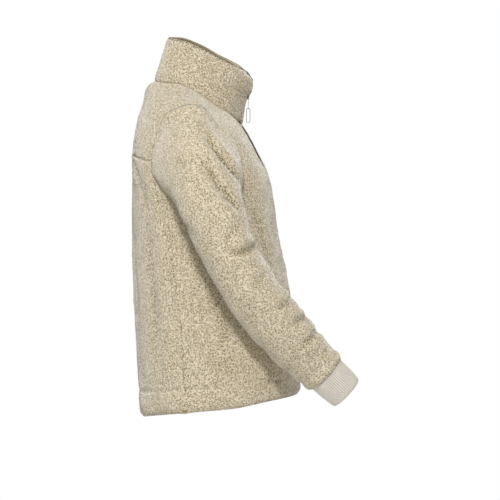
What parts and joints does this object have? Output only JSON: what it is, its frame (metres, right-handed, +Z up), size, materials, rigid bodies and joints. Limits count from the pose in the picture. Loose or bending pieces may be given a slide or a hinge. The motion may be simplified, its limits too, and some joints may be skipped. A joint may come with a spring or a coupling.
{
  "type": "fleece jacket",
  "caption": "Worn-form pile fleece jacket: stand collar, full front zip with hanging ring pull, back yoke, side panels, long forward sleeves with rib-knit cuffs, straight hem.",
  "frame": {"origin": "between the shoulders, at the height of the shoulder points, where the wearer holds the jacket up", "axes": "+Z up along the wearer's back, -Y out of the front, -X towards the wearer's right"},
  "size_m": [0.6377, 0.4516, 0.7598],
  "materials": {
    "fleece": "curly deep-pile fleece, cream beige",
    "rib_knit": "fine rib knit, pale cream",
    "facing": "smooth brushed knit, olive brown",
    "zip_tape": "woven tape, dark charcoal",
    "zip_teeth": "moulded teeth, near black",
    "slider": "dark painted metal",
    "pull": "bright steel wire"
  },
  "bodies": {
    "jacket": {"back": "fleece", "back_yoke": "fleece", "collar": "fleece", "collar_facing": "facing", "cuff_left": "rib_knit", "cuff_right": "rib_knit", "front_left": "fleece", "front_right": "fleece", "side_panel_left": "fleece", "side_panel_right": "fleece", "sleeve_left": "fleece", "sleeve_right": "fleece", "zip_slider": "slider", "zip_tape_left": "zip_tape", "zip_tape_right": "zip_tape", "zip_teeth_left": "zip_teeth", "zip_teeth_right": "zip_teeth"},
    "link": {"pull_link": "pull"},
    "ring": {"pull_ring": "pull"}
  },
  "joints": [
    {"name": "link_hinge", "type": "hinge", "parent": "jacket", "child": "link", "pos_m": [0, -0.09649, 0.01083], "axis": [1, 0, 0], "range_deg": [-130, 2]},
    {"name": "ring_hinge", "type": "hinge", "parent": "link", "child": "ring", "pos_m": [0, -0.09649, -0.00977], "axis": [1, 0, 0], "range_deg": [-75, 5]}
  ]
}
